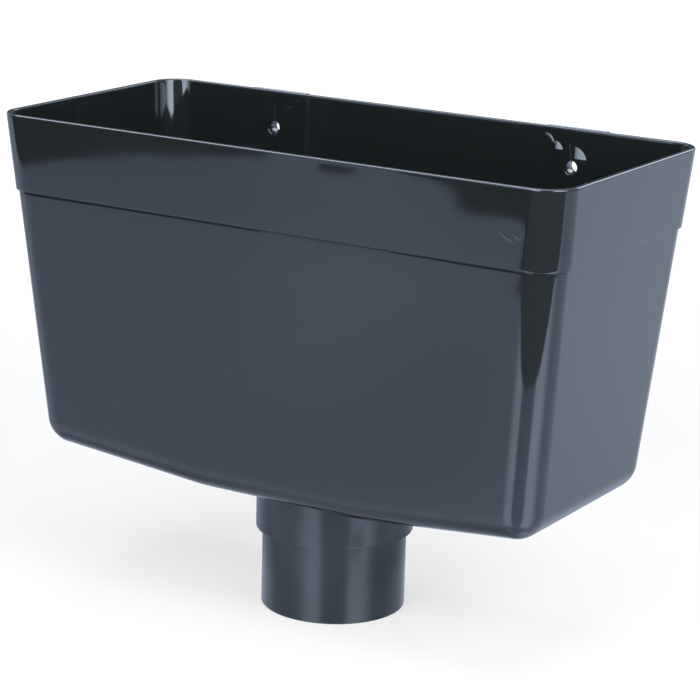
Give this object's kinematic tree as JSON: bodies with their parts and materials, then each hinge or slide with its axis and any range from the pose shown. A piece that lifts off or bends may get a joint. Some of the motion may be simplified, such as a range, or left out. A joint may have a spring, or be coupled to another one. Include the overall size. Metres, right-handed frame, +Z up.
{
  "type": "downpipe hopper head",
  "caption": "Open tapered rainwater hopper with a stepped band under its rim, a floor falling to a central collar and spigot, and cored wall lugs with fixing holes.",
  "frame": {"origin": "centre of the spigot's lower end, on the outlet axis", "axes": "+Z up along the outlet axis, +X along the long way of the mouth, +Y towards the building wall"},
  "size_m": [0.2948, 0.1439, 0.227],
  "materials": {
    "upvc": "gloss black moulded uPVC"
  },
  "bodies": {
    "root": {"hopper_head": "upvc"}
  },
  "joints": []
}
